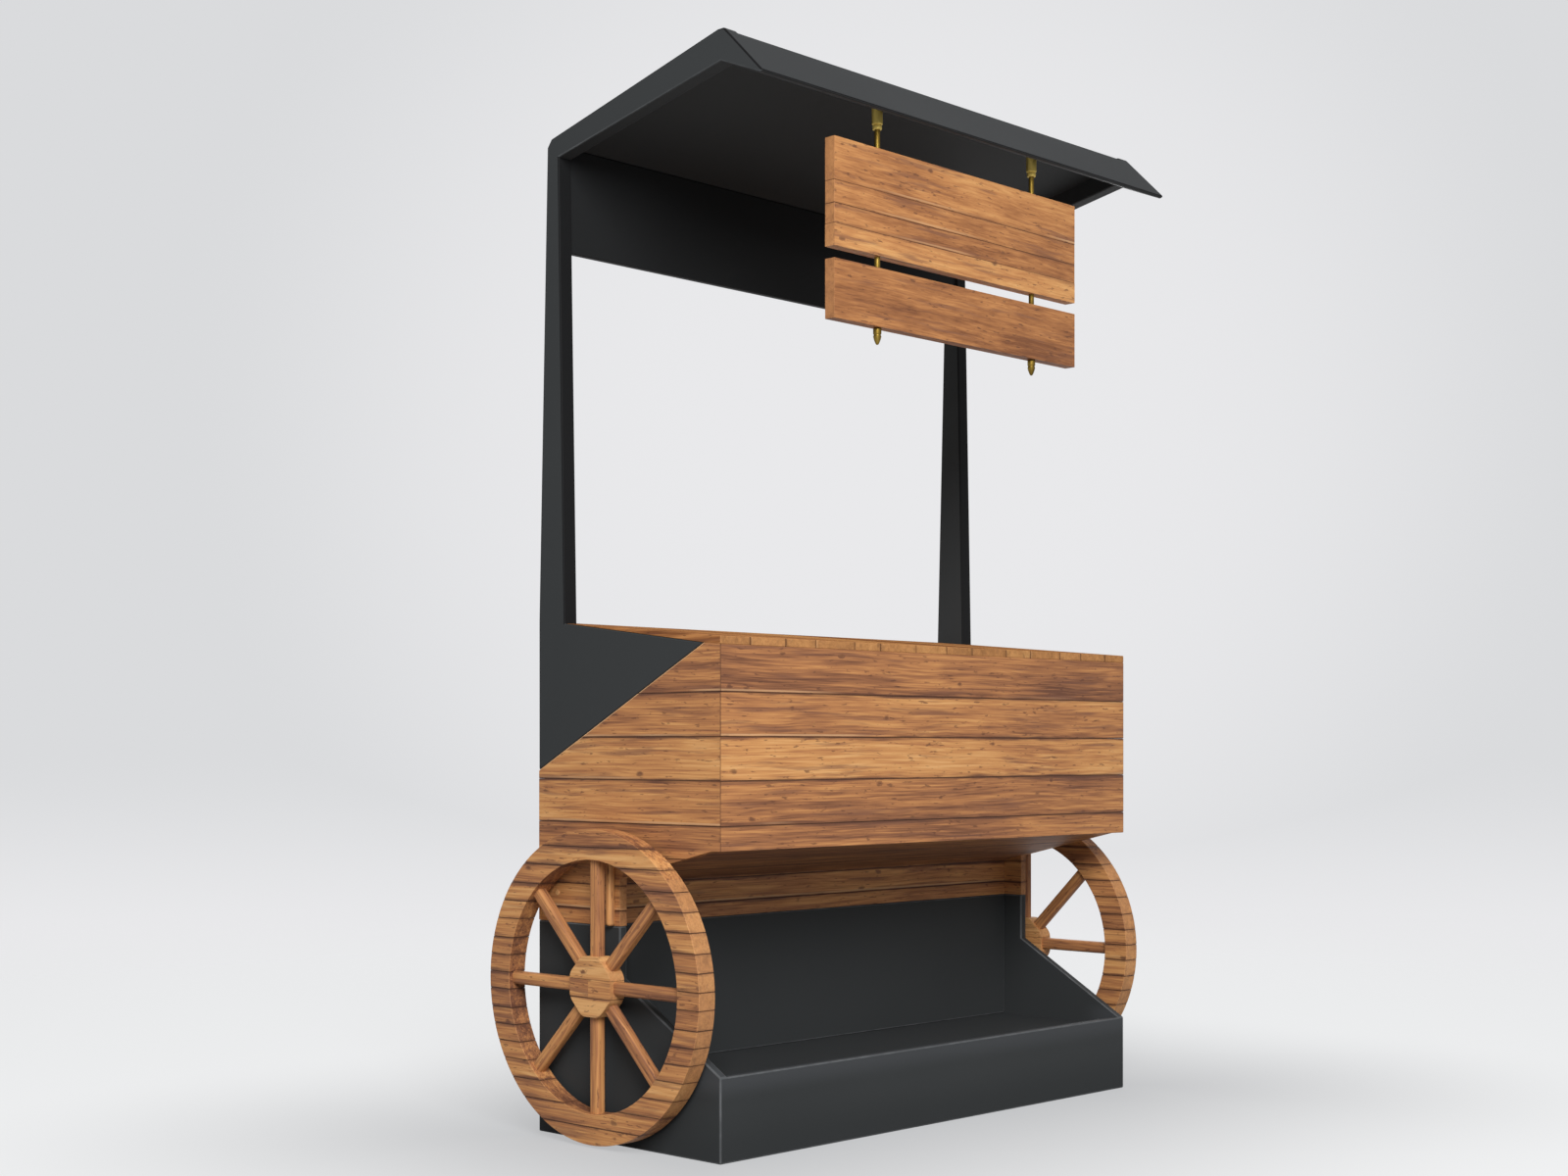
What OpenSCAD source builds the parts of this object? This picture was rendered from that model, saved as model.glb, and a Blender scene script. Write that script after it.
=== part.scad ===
// Beverage cart: a black base tray and side frames carry a plank cabinet, a roof with a folded visor,
// a hanging two-board sign and two wooden wheels. Millimetres, +Z up, the front faces -Y.
// The origin is the centre of the base's underside.

/* [Cart] */
// Width over the side panels
body_width = 1243; // [1000:1:1600]
// Depth from the front panel to the rear panel
body_depth = 507; // [460:1:600]
// Thickness of the cabinet and base boards
board_t = 18; // [15:1:22]
// Thickness of the black side frames and rafters
frame_t = 32; // [24:1:36]

/* [Base] */
// Height of the front board of the base
base_front_h = 156; // [130:1:180]
// Height of the base side where its sloping top edge ends
base_slope_top = 314; // [260:1:340]
// Height of the black lower part of the rear columns
base_back_h = 413; // [390:1:430]
// How far the deck lies under the rim of the front board
deck_drop = 16; // [8:1:40]

/* [Cabinet] */
// Height of the underside of the front panel
body_bottom = 562; // [540:1:600]
// Height of the countertop's underside at the front edge
counter_under = 936; // [880:1:960]
// Thickness of the countertop
counter_t = 15; // [12:1:30]
// Rise of the countertop from its front edge to the back
counter_rise = 45; // [20:1:60]
// Level stretch at the front of the side panel's lower edge
lip = 22; // [20:1:60]
// Distance from the front to the rear columns
column_front = 270; // [250:1:300]
// Height of the side panel's lower edge where it meets the column
column_top = 503; // [480:1:530]
// Distance from the front to the display bay's back wall
bay_depth = 318; // [305:1:400]

/* [Side frames] */
// Height of the lowest corner of the black triangle, at the back
triangle_low = 706; // [660:1:760]
// Distance from the front to the tip of the black triangle
tip_depth = 45; // [40:1:120]
// Distance from the front to the post's front edge, at the countertop
post_front_low = 430; // [400:1:440]
// Distance from the front to the post's front edge, at the roof
post_front_high = 448; // [441:1:455]
// Distance from the front to the post's back edge, at the roof
post_back_high = 482; // [478:1:490]

/* [Roof] */
// Height of the roof's rear corner
roof_back_h = 1929; // [1850:1:1990]
// Height of the roof's peak, over the cabinet's front
roof_peak_h = 2041; // [2010:1:2100]
// Depth of the rafter under the peak
rafter_drop = 59; // [50:1:70]
// Height of the rafter's lower edge where it meets the post
rafter_low = 1893; // [1800:1:1900]
// How far the visor's tip stands in front of the cabinet
visor_reach = 105; // [80:1:130]
// Height of the visor's tip
visor_tip_h = 1938; // [1920:1:1960]
// Thickness of the roof panel and the valance
roof_t = 15; // [12:1:18]
// Thickness of the visor's two boards
visor_board_t = 12; // [9:1:14]
// Height of the lower edge of the valance behind the roof
valance_low = 1712; // [1600:1:1800]

/* [Sign] */
// Width of the two boards
sign_width = 747; // [600:1:900]
// Thickness of the two boards
sign_t = 24; // [20:1:30]
// Distance from the cabinet's front plane forward to the boards' middle
sign_ahead = 38; // [30:1:50]
// Height of the upper board's upper edge
sign_upper_high = 1889; // [1860:1:1900]
// Height of the upper board's lower edge
sign_upper_low = 1685; // [1675:1:1740]
// Height of the lower board's upper edge
sign_lower_high = 1662; // [1620:1:1670]
// Height of the lower board's lower edge
sign_lower_low = 1550; // [1500:1:1580]
// Distance between the two rods
rod_spacing = 480; // [300:1:560]
// Diameter of the rods
rod_d = 11; // [8:0.5:14]
// Diameter of the cups that hold the rods
cup_d = 21; // [18:0.5:26]
// Height of the cups' lower end
cup_low = 1927; // [1915:1:1940]
// Diameter of the finials under the lower board
finial_d = 16; // [14:0.5:20]
// Height of a finial
finial_h = 32; // [24:1:40]

/* [Wheels] */
// Diameter of the wheels
wheel_d = 592; // [540:1:600]
// Radial width of the rim
rim_w = 58; // [45:1:70]
// Thickness of the rim
rim_t = 40; // [36:1:48]
// Height of the wheel's centre
wheel_z = 301; // [298:1:320]
// Distance from the front to the wheel's centre
wheel_depth = 297; // [290:1:310]
// Gap between the rim and the side of the cart
wheel_gap = 12; // [8:1:18]
// Width of the spokes, as seen from the side
spoke_w = 25; // [20:1:28]
// Thickness of the spokes
spoke_t = 22; // [18:1:26]
// Diameter that the spokes' four edges are rounded to
spoke_round_d = 29; // [27:0.5:33]
// Number of spokes
spoke_count = 8; // [6:2:10]
// Distance across the flats of the hub
hub_flats = 114; // [100:1:130]
// Thickness of the hub
hub_t = 36; // [30:1:42]
// Diameter of the axle
axle_d = 24; // [20:1:30]
// Depth of the axle's socket in the hub
axle_in_hub = 22; // [15:1:28]

/* [Side pegs] */
// Diameter of the short upright peg behind each wheel
peg_d = 17; // [12:1:20]
// How far the peg stands out from the side panel
peg_proud = 14; // [10:1:15]
// Distance from the column's front edge back to the peg's middle
peg_setback = 21; // [12:1:60]

/* [Hidden] */

black = "#2c2e30";
plank = "#a9764a";
sign_wood = "#c08a57";
brass = "#8a6f35";

// sides of the small circles and of the wheels' large ones
small_fn = 48;
wheel_fn = 96;
// how far a cutting shape passes the faces that it cuts
cut_past = 1;

front_y = -body_depth / 2;
side_x = body_width / 2;
board_x = side_x - board_t;
frame_x = side_x - frame_t;
deck_z = base_front_h - deck_drop;
// rear corner of the frame's back edge at the roof, and the small chamfer over it
corner_cut = 12;
corner_z = roof_back_h - corner_cut;
// half the level top of the peak, and the blunt end of the visor's tip
peak_flat = 8;
tip_blunt = 7;
// how far the roof boards lie under the rafters' upper edges
roof_inset = 4;
// how far the valance stands behind the posts' front edges
valance_setback = 4;
// how far the rods reach into the cups and the finials
rod_grip = 12;
// share of a finial that tapers, and how much thinner its point is
finial_taper = 0.45;
finial_point = 0.25;
// how far a peg ends under the rim over it
peg_gap = 8;

// Heights, at a distance back from the front plane, of the sloping surfaces
function between(d, d0, z0, d1, z1) = z0 + (z1 - z0) * (d - d0) / (d1 - d0);
function counter_low(d) = counter_under + counter_rise * d / body_depth;
function counter_top(d) = counter_low(d) + counter_t;
function soffit_low(d) = between(d, lip, body_bottom, column_front, column_top);
function rafter_top(d) = between(d, peak_flat, roof_peak_h, post_back_high, roof_back_h);
function rafter_under(d) = between(d, 0, roof_peak_h - rafter_drop, post_front_high, rafter_low);
function roof_high(d) = rafter_top(d) - roof_inset;
function visor_under(d) = between(d, 0, roof_peak_h - rafter_drop, -visor_reach, visor_tip_h);

// An outline in depth and height, drawn out across the cart from x0 to x1
module across(x0, x1, outline) {
    translate([x0, front_y, 0])
        rotate([90, 0, 90])
            linear_extrude(x1 - x0)
                polygon(outline);
}

// A plain board: its range across the cart, back from the front plane, and up
module board(x, d, z) {
    translate([x[0], front_y + d[0], z[0]])
        cube([x[1] - x[0], d[1] - d[0], z[1] - z[0]]);
}

module right_of_left() {
    mirror([1, 0, 0])
        children();
}

// ---- base tray ----

base_side_outline = [
    [0, 0],
    [body_depth, 0],
    [body_depth, base_back_h],
    [column_front, base_back_h],
    [column_front, base_slope_top],
    [0, base_front_h]
];

module base_left_side() {
    color(black)
        across(-side_x, -board_x, base_side_outline);
}

module base_right_side() {
    right_of_left()
        base_left_side();
}

module base_front_board() {
    color(black)
        board([-board_x, board_x], [0, board_t], [0, base_front_h]);
}

module base_back_board() {
    color(black)
        board([-board_x, board_x], [body_depth - board_t, body_depth], [0, base_back_h]);
}

// One bearer runs from front to back under the middle of the deck.
module base_bearer() {
    color(black)
        board([-board_t / 2, board_t / 2], [board_t, body_depth - board_t], [0, deck_z - board_t]);
}

module base_deck() {
    color(black)
        board([-board_x, board_x], [board_t, body_depth - board_t], [deck_z - board_t, deck_z]);
}

module base_bay_wall() {
    color(black)
        board([-board_x, board_x], [bay_depth, bay_depth + board_t], [deck_z, base_back_h]);
}

// ---- cabinet ----

side_panel_outline = [
    [0, body_bottom],
    [lip, body_bottom],
    [column_front, column_top],
    [column_front, base_back_h],
    [body_depth, base_back_h],
    [body_depth, triangle_low],
    [tip_depth, counter_low(tip_depth)],
    [0, counter_low(0)]
];

module left_side_panel() {
    color(plank)
        across(-side_x, -board_x, side_panel_outline);
}

module right_side_panel() {
    right_of_left()
        left_side_panel();
}

module front_panel() {
    color(plank)
        across(-board_x, board_x, [
            [0, body_bottom],
            [board_t, body_bottom],
            [board_t, counter_low(board_t)],
            [0, counter_low(0)]
        ]);
}

// The rear panel is notched round the side frames, which are thicker than the side panels.
module rear_panel() {
    rear_front = body_depth - board_t;
    color(plank)
        difference() {
            across(-board_x, board_x, [
                [rear_front, base_back_h],
                [body_depth, base_back_h],
                [body_depth, counter_low(body_depth)],
                [rear_front, counter_low(rear_front)]
            ]);
            frames_cut();
        }
}

module soffit_board() {
    color(plank)
        across(-board_x, board_x, [
            [board_t, body_bottom],
            [lip, body_bottom],
            [bay_depth, soffit_low(bay_depth)],
            [bay_depth, soffit_low(bay_depth) + board_t],
            [lip, body_bottom + board_t],
            [board_t, body_bottom + board_t]
        ]);
}

module bay_back_wall() {
    wall_top = soffit_low(bay_depth) + board_t;
    color(plank)
        board([-board_x, board_x], [bay_depth, bay_depth + board_t], [base_back_h, wall_top]);
}

// The countertop lies on the panels; the black frames are let into its ends.
module countertop() {
    color(plank)
        difference() {
            across(-side_x, side_x, [
                [0, counter_low(0)],
                [body_depth, counter_low(body_depth)],
                [body_depth, counter_top(body_depth)],
                [0, counter_top(0)]
            ]);
            frames_cut();
        }
}

// ---- side frames and roof ----

frame_outline = [
    [body_depth, triangle_low],
    [tip_depth, counter_low(tip_depth)],
    [post_front_low, counter_top(post_front_low)],
    [post_front_high, rafter_low],
    [post_back_high, corner_z],
    [body_depth, counter_top(body_depth)]
];

rafter_outline = [
    [post_front_high, rafter_low],
    [post_back_high, corner_z],
    [post_back_high - corner_cut, rafter_top(post_back_high - corner_cut)],
    [peak_flat, roof_peak_h],
    [-peak_flat, roof_peak_h],
    [-visor_reach, visor_tip_h + tip_blunt],
    [-visor_reach + tip_blunt, visor_under(-visor_reach + tip_blunt)],
    [0, visor_under(0)]
];

// The space that both side frames take, drawn out past the sides
module frames_cut() {
    across(-side_x - cut_past, -frame_x, frame_outline);
    across(frame_x, side_x + cut_past, frame_outline);
}

module left_frame() {
    color(black)
        across(-side_x, -frame_x, frame_outline);
}

module right_frame() {
    right_of_left()
        left_frame();
}

module left_rafter() {
    color(black)
        across(-side_x, -frame_x, rafter_outline);
}

module right_rafter() {
    right_of_left()
        left_rafter();
}

// The visor's front board follows the rafters' front edges from the roof down to the tip, and its
// inner face is where the roof panel and the visor's soffit board butt against it.
face_run = (visor_reach - peak_flat) / (roof_peak_h - visor_tip_h - tip_blunt);
visor_slope = (roof_peak_h - rafter_drop - visor_tip_h) / visor_reach;
visor_top_z = roof_peak_h - roof_inset;
visor_level_t = visor_board_t * norm([1, face_run]);
function face_d(z) = -peak_flat - face_run * (roof_peak_h - z);
function inner_d(z) = face_d(z) + visor_level_t;
// where the inner face crosses a line that runs a given lift over the visor's underside
function inner_cross(lift) =
    (inner_d(visor_under(0) + lift)) / (1 - face_run * visor_slope);

module visor_front_board() {
    color(black)
        across(-frame_x, frame_x, [
            [face_d(visor_top_z), visor_top_z],
            [-visor_reach, visor_tip_h + tip_blunt],
            [-visor_reach + tip_blunt, visor_under(-visor_reach + tip_blunt)],
            [inner_cross(0), visor_under(inner_cross(0))],
            [inner_d(visor_top_z), visor_top_z]
        ]);
}

module visor_soffit_board() {
    color(black)
        across(-frame_x, frame_x, [
            [inner_cross(0), visor_under(inner_cross(0))],
            [0, visor_under(0)],
            [0, visor_under(0) + visor_board_t],
            [inner_cross(visor_board_t), visor_under(inner_cross(visor_board_t)) + visor_board_t]
        ]);
}

module roof_panel() {
    roof_back = post_back_high - corner_cut;
    under_z = visor_top_z - roof_t;
    color(black)
        across(-frame_x, frame_x, [
            [inner_d(visor_top_z), visor_top_z],
            [peak_flat, visor_top_z],
            [roof_back, roof_high(roof_back)],
            [roof_back, roof_high(roof_back) - roof_t],
            [peak_flat, under_z],
            [inner_d(under_z), under_z]
        ]);
}

module back_valance() {
    valance_front = post_front_high + valance_setback;
    valance_back = valance_front + roof_t;
    color(black)
        across(-frame_x, frame_x, [
            [valance_front, valance_low],
            [valance_back, valance_low],
            [valance_back, roof_high(valance_back) - roof_t],
            [valance_front, roof_high(valance_front) - roof_t]
        ]);
}

// ---- sign ----

rod_top = cup_low + rod_grip;
rod_bottom = sign_lower_low - rod_grip;

// Places its children on the left rod's axis
module at_rod() {
    translate([-rod_spacing / 2, front_y - sign_ahead, 0])
        children();
}

// A board from one height to another, bored for both rods
module sign_board(low, high) {
    color(sign_wood)
        difference() {
            board(
                [-sign_width / 2, sign_width / 2],
                [-sign_ahead - sign_t / 2, -sign_ahead + sign_t / 2],
                [low, high]
            );
            for (side = [0, 1])
                mirror([side, 0, 0])
                    at_rod()
                        translate([0, 0, low - cut_past])
                            cylinder(h = high - low + 2 * cut_past, d = rod_d, $fn = small_fn);
        }
}

module sign_upper_board() {
    sign_board(sign_upper_low, sign_upper_high);
}

module sign_lower_board() {
    sign_board(sign_lower_low, sign_lower_high);
}

module left_sign_rod() {
    color(brass)
        at_rod()
            translate([0, 0, rod_bottom])
                cylinder(h = rod_top - rod_bottom, d = rod_d, $fn = small_fn);
}

module right_sign_rod() {
    right_of_left()
        left_sign_rod();
}

// A cup's top is cut along the visor's sloping underside, and its mouth takes the rod.
module left_rod_cup() {
    cup_high = visor_under(-sign_ahead + cup_d);
    color(brass)
        difference() {
            intersection() {
                at_rod()
                    translate([0, 0, cup_low])
                        cylinder(h = cup_high - cup_low, d = cup_d, $fn = small_fn);
                across(-rod_spacing / 2 - cup_d, -rod_spacing / 2 + cup_d, [
                    [-visor_reach, cup_low - cut_past],
                    [0, cup_low - cut_past],
                    [0, visor_under(0)],
                    [-visor_reach, visor_under(-visor_reach)]
                ]);
            }
            at_rod()
                translate([0, 0, cup_low - cut_past])
                    cylinder(h = rod_grip + cut_past, d = rod_d, $fn = small_fn);
        }
}

module right_rod_cup() {
    right_of_left()
        left_rod_cup();
}

module left_rod_finial() {
    color(brass)
        at_rod()
            translate([0, 0, sign_lower_low - finial_h])
                rotate_extrude($fn = small_fn)
                    polygon([
                        [0, 0],
                        [finial_d / 2 * finial_point, 0],
                        [finial_d / 2, finial_h * finial_taper],
                        [finial_d / 2, finial_h],
                        [rod_d / 2, finial_h],
                        [rod_d / 2, finial_h - rod_grip],
                        [0, finial_h - rod_grip]
                    ]);
}

module right_rod_finial() {
    right_of_left()
        left_rod_finial();
}

// ---- wheels ----

rim_inner_d = wheel_d - 2 * rim_w;
rim_out_x = side_x + wheel_gap + rim_t;
spoke_x = side_x + wheel_gap + rim_t / 2;
hub_in_x = rim_out_x - hub_t;

// Places its children on the left wheel's axis, which they follow outwards, x mm from the cart's middle
module at_wheel(x) {
    translate([-x, front_y + wheel_depth, wheel_z])
        rotate([0, -90, 0])
            children();
}

module left_wheel_rim() {
    color(plank)
        at_wheel(rim_out_x - rim_t)
            difference() {
                cylinder(h = rim_t, d = wheel_d, $fn = wheel_fn);
                translate([0, 0, -cut_past])
                    cylinder(h = rim_t + 2 * cut_past, d = rim_inner_d, $fn = wheel_fn);
            }
}

// One spoke from the hub's flat to the middle of the rim: a square bar with rounded edges
module spoke_bar() {
    bar_end = wheel_d / 2 - rim_w / 2;
    translate([0, 0, hub_flats / 2])
        intersection() {
            cylinder(h = bar_end - hub_flats / 2, d = spoke_round_d, $fn = small_fn);
            translate([-spoke_t / 2, -spoke_w / 2, 0])
                cube([spoke_t, spoke_w, bar_end - hub_flats / 2]);
        }
}

// The spokes stand on the hub's flats and end on the rim's round inner face.
module left_wheel_spokes() {
    color(plank)
        at_wheel(spoke_x)
            intersection() {
                for (i = [0 : spoke_count - 1])
                    rotate([0, 0, i * 360 / spoke_count])
                        rotate([0, 90, 0])
                            spoke_bar();
                translate([0, 0, -spoke_t])
                    cylinder(h = 2 * spoke_t, d = rim_inner_d, $fn = wheel_fn);
            }
}

// The hub has one flat for each spoke, and a socket for the axle in its inner face.
module left_wheel_hub() {
    color(plank)
        at_wheel(hub_in_x)
            difference() {
                rotate([0, 0, 180 / spoke_count])
                    cylinder(h = hub_t, d = hub_flats / cos(180 / spoke_count), $fn = spoke_count);
                translate([0, 0, -cut_past])
                    cylinder(h = axle_in_hub + cut_past, d = axle_d, $fn = small_fn);
            }
}

module left_wheel_axle() {
    color(plank)
        at_wheel(side_x)
            cylinder(h = hub_in_x + axle_in_hub - side_x, d = axle_d, $fn = small_fn);
}

module right_wheel_rim() {
    right_of_left()
        left_wheel_rim();
}

module right_wheel_spokes() {
    right_of_left()
        left_wheel_spokes();
}

module right_wheel_hub() {
    right_of_left()
        left_wheel_hub();
}

module right_wheel_axle() {
    right_of_left()
        left_wheel_axle();
}

// ---- side pegs ----

// A round peg stands on the side panel, from the black column up to just under the rim.
// Its back is cut flat where it lies on the panel.
module left_side_peg() {
    peg_h = wheel_z + rim_inner_d / 2 - peg_gap - base_back_h;
    color(plank)
        intersection() {
            translate([-side_x - peg_proud + peg_d / 2, front_y + column_front + peg_setback, base_back_h])
                cylinder(h = peg_h, d = peg_d, $fn = small_fn);
            board([-side_x - peg_proud, -side_x], [0, body_depth], [base_back_h, base_back_h + peg_h]);
        }
}

module right_side_peg() {
    right_of_left()
        left_side_peg();
}

base_front_board();
base_left_side();
base_right_side();
base_back_board();
base_bearer();
base_deck();
base_bay_wall();
front_panel();
left_side_panel();
right_side_panel();
rear_panel();
soffit_board();
bay_back_wall();
countertop();
left_frame();
right_frame();
left_rafter();
right_rafter();
roof_panel();
visor_front_board();
visor_soffit_board();
back_valance();
sign_upper_board();
sign_lower_board();
left_sign_rod();
right_sign_rod();
left_rod_cup();
right_rod_cup();
left_rod_finial();
right_rod_finial();
left_wheel_rim();
left_wheel_spokes();
left_wheel_hub();
left_wheel_axle();
right_wheel_rim();
right_wheel_spokes();
right_wheel_hub();
right_wheel_axle();
left_side_peg();
right_side_peg();
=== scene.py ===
# %% [markdown]
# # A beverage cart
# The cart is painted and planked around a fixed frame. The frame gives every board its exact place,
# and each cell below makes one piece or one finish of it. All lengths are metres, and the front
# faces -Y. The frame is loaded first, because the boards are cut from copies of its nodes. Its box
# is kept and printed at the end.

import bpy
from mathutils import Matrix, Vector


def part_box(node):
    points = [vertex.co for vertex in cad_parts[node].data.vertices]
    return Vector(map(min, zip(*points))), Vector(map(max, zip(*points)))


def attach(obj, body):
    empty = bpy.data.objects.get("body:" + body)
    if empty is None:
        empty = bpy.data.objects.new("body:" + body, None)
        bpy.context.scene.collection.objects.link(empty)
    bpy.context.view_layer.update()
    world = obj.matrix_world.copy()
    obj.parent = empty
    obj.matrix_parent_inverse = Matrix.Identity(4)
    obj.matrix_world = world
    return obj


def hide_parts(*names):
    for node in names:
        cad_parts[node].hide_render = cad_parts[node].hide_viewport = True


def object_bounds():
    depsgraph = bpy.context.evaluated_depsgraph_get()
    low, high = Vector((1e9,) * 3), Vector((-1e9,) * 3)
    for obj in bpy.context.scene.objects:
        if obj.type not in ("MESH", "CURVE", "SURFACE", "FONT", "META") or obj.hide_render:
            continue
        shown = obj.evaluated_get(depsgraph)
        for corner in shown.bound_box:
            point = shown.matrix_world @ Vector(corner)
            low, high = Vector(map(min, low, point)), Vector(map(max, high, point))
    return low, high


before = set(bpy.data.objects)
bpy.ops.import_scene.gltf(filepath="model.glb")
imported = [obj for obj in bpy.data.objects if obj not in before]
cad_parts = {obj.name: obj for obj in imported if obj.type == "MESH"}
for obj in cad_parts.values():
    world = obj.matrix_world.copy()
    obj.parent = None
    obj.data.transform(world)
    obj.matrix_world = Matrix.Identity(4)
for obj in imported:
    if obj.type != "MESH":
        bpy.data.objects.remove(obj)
cad_box = [list(corner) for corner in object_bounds()]

import math
import random

import bmesh
import bpy

print("frame nodes:", len(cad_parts), "box:", cad_box)

# %% [markdown]
# ## Camera
# The cart is seen from its front left corner, at the height of the cabinet. Tilting the camera up
# would bring the roof into view, but the posts would then lean in. So the camera stays level, which
# keeps the posts upright, and a small vertical shift moves the view up instead.

# %% Place the camera
CAMERA_AT = (-3.374, -3.0625, 0.7514)
CAMERA_TURN = math.radians(-46.08)
LENS = 50.29
LENS_SHIFT = 0.1011

bpy.ops.object.camera_add(location=CAMERA_AT, rotation=(math.pi / 2, 0, CAMERA_TURN))
camera = bpy.context.object
camera.data.lens = LENS
camera.data.shift_y = LENS_SHIFT
bpy.context.scene.camera = camera
bpy.context.scene.view_settings.view_transform = "Standard"
print("camera at", CAMERA_AT, "lens", LENS)

# %% [markdown]
# ## Colours and shader nodes
# Colours are easiest to write as the 0 to 255 numbers of a paint chart, but shaders work in linear
# light, so one helper converts them. Shader nodes can be placed by hand in the editor. Here another
# helper adds a node and plugs it in on one line, which keeps the finishes readable, and the rest of
# them give short names to the nodes that are needed most.

# %% Shader helpers
def colour(red, green, blue):
    """A paint chart colour as linear red, green, blue and alpha."""
    def linear(value):
        value /= 255
        return value / 12.92 if value <= 0.04045 else ((value + 0.055) / 1.055) ** 2.4
    return (linear(red), linear(green), linear(blue), 1)


def add_node(tree, kind, inputs=None, **options):
    """Adds a shader node, sets its options, and plugs in values or other nodes' outputs."""
    node = tree.nodes.new(kind)
    for option, value in options.items():
        setattr(node, option, value)
    for socket, value in (inputs or {}).items():
        if isinstance(value, bpy.types.NodeSocket):
            tree.links.new(value, node.inputs[socket])
        else:
            node.inputs[socket].default_value = value
    return node


def calc(tree, operation, first, second=0.0, third=0.0):
    """One step of arithmetic on node outputs or numbers."""
    inputs = {0: first, 1: second, 2: third}
    return add_node(tree, "ShaderNodeMath", inputs, operation=operation).outputs[0]


def vector_calc(tree, operation, first, second=(0, 0, 0), result="Vector"):
    """One step of arithmetic on vectors. The result is a vector, or one number with "Value"."""
    inputs = {0: first, 1: second}
    return add_node(tree, "ShaderNodeVectorMath", inputs, operation=operation).outputs[result]


def numbers(tree, vector):
    """The three numbers of a vector."""
    return add_node(tree, "ShaderNodeSeparateXYZ", {0: vector}).outputs


def attribute(tree, name):
    """The vector that a piece carries in an attribute."""
    return add_node(tree, "ShaderNodeAttribute", attribute_name=name).outputs["Vector"]


def place_on(tree, space="Object"):
    """Where a point lies on the object, or which way it lies in the world."""
    return add_node(tree, "ShaderNodeTexCoord").outputs[space]


def blend(tree, amount, first, second):
    """Mixes two colours by an amount."""
    inputs = {0: amount, 6: first, 7: second}
    return add_node(tree, "ShaderNodeMix", inputs, data_type="RGBA").outputs[2]


def mix_shaders(tree, amount, first, second):
    """Mixes two shaders by an amount."""
    return add_node(tree, "ShaderNodeMixShader", {0: amount, 1: first, 2: second}).outputs[0]


def fade(tree, value, start, end, low=0.0, high=1.0):
    """Turns a value that goes from start to end into one that goes softly from low to high."""
    ends = {"Value": value, "From Min": start, "From Max": end, "To Min": low, "To Max": high}
    return add_node(tree, "ShaderNodeMapRange", ends, interpolation_type="SMOOTHSTEP").outputs[0]


def noise(tree, vector, stretch, detail=2.0, roughness=0.5):
    """Noise with its own scale along each axis, in features per metre."""
    place = vector_calc(tree, "MULTIPLY", vector, stretch)
    inputs = {"Vector": place, "Scale": 1.0, "Detail": detail, "Roughness": roughness}
    return add_node(tree, "ShaderNodeTexNoise", inputs).outputs["Fac"]


def ramp(tree, value, stops):
    """A colour ramp from a list of (place, colour) stops."""
    node = add_node(tree, "ShaderNodeValToRGB", {0: value})
    elements = node.color_ramp.elements
    while len(elements) < len(stops):
        elements.new(1)
    for element, (place, tint) in zip(elements, stops):
        element.position = place
        element.color = tint
    return node.outputs[0]


def seen_rays(tree):
    """One for rays from the camera and in reflections, and zero for light that bounces."""
    ray = add_node(tree, "ShaderNodeLightPath").outputs
    mirrored = calc(tree, "MAXIMUM", ray["Is Glossy Ray"], ray["Is Transmission Ray"])
    return calc(tree, "MAXIMUM", ray["Is Camera Ray"], mirrored)


def new_finish(name):
    """A new material and its node tree, with a plain Principled shader in it."""
    material = bpy.data.materials.new(name)
    material.use_nodes = True
    return material, material.node_tree, material.node_tree.nodes["Principled BSDF"]


def roughen(tree, shader, height, strength, depth):
    """Gives a finish a fine relief."""
    inputs = {"Strength": strength, "Distance": depth, "Height": height}
    bump = add_node(tree, "ShaderNodeBump", inputs)
    tree.links.new(bump.outputs[0], shader.inputs["Normal"])


print("chart grey 128 is", round(colour(128, 128, 128)[0], 3), "in linear light")

# %% [markdown]
# ## Studio floor
# The cart stands on a pale seamless floor. A plane would do, but its edge would show as a horizon,
# so this is a wide disc that fades out towards its rim. For the camera and in reflections, most of
# its colour is emitted and the rest is lit, which keeps the cart's shadow as soft and light as on a
# studio sweep. The floor also has a painted shadow: its colour darkens towards the base, where
# big soft lamps can't reach. Light that bounces off the floor to the cart meets a plain grey one
# instead.

# %% Build the floor
FLOOR_RADIUS, FLOOR_SIDES = 9.0, 128
FLOOR_FADE = (2.0, 6.0)
FLOOR_TINT = colour(241, 242, 243)
# the floor's painted shadow near the base, and the distances over which it fades out
FLOOR_PAINTED_SHADOW = colour(190, 191, 193)
PAINTED_SHADOW_REACH = (-0.5, 1.2)
FLOOR_BOUNCE, FLOOR_ROUGH = (0.32, 0.32, 0.32, 1), 0.9
FLOOR_LIT_SHARE = 0.22

bpy.ops.mesh.primitive_circle_add(vertices=FLOOR_SIDES, radius=FLOOR_RADIUS, fill_type="NGON")
floor = bpy.context.object
floor.name = "studio_floor"
floor_finish, tree, shader = new_finish("studio_floor")
shader.inputs["Base Color"].default_value = FLOOR_BOUNCE
shader.inputs["Roughness"].default_value = FLOOR_ROUGH
place = place_on(tree)
base = (cad_box[1][0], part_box("base_back_board")[1][1], 0)
past = vector_calc(tree, "SUBTRACT", vector_calc(tree, "ABSOLUTE", place), base)
away = vector_calc(tree, "LENGTH", vector_calc(tree, "MAXIMUM", past), result="Value")
# painted shadow: the floor's colour darkens towards the base
tint = blend(tree, fade(tree, away, *PAINTED_SHADOW_REACH), FLOOR_PAINTED_SHADOW, FLOOR_TINT)
lit = add_node(tree, "ShaderNodeBsdfDiffuse", {"Color": tint}).outputs[0]
glow = add_node(tree, "ShaderNodeEmission", {"Color": tint, "Strength": 1.0}).outputs[0]
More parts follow.
